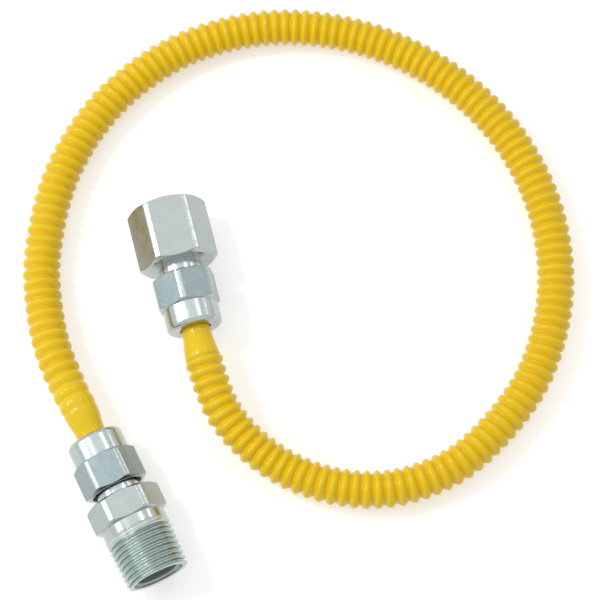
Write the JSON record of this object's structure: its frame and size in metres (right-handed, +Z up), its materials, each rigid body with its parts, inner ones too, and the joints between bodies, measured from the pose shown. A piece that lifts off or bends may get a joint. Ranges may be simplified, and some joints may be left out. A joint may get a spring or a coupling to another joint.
{
  "type": "flexible gas hose",
  "caption": "Flexible gas connector: yellow coated corrugated hose in an open loop, with flare nuts and hexagon pipe adapters, a threaded socket at one end and a male pipe thread at the other.",
  "frame": {"origin": "on the surface that the hose lies on, midway between the far sides of the two end fittings, in the middle of their shared bounding box", "axes": "+Y along the axis of the socket end, pointing out of the socket; +Z up from the surface; +X towards the hose's loop"},
  "size_m": [0.1802, 0.1838, 0.0238],
  "materials": {
    "yellow_coating": "glossy plastic coating on corrugated stainless steel",
    "zinc_plating": "bright zinc-plated steel"
  },
  "bodies": {
    "hose_body": {"hose": "yellow_coating"},
    "male_nut_body": {"male_nut": "zinc_plating"},
    "male_adapter_body": {"male_adapter": "zinc_plating"},
    "female_nut_body": {"female_nut": "zinc_plating"},
    "female_adapter_body": {"female_adapter": "zinc_plating"}
  },
  "joints": [
    {"name": "male_nut_turn", "type": "hinge", "parent": "hose_body", "child": "male_nut_body", "pos_m": [-0.02064, -0.01708, 0.0111], "axis": [-0.2028, 0.9792, 0], "range_deg": [0, 2160]},
    {"name": "male_adapter_slide", "type": "slide", "parent": "hose_body", "child": "male_adapter_body", "axis": [0.2028, -0.9792, 0], "range_m": [0, 0.0085]},
    {"name": "female_nut_turn", "type": "hinge", "parent": "hose_body", "child": "female_nut_body", "pos_m": [0.0178, 0.024, 0.0119], "axis": [0, -1, 0], "range_deg": [0, 2160]},
    {"name": "female_adapter_slide", "type": "slide", "parent": "hose_body", "child": "female_adapter_body", "axis": [0, 1, 0], "range_m": [0, 0.0085]}
  ],
  "couplings": [
    {"joint": "male_adapter_slide", "follows": "male_nut_turn", "m_per_rad": 0.00022458},
    {"joint": "female_adapter_slide", "follows": "female_nut_turn", "m_per_rad": 0.00022458}
  ]
}
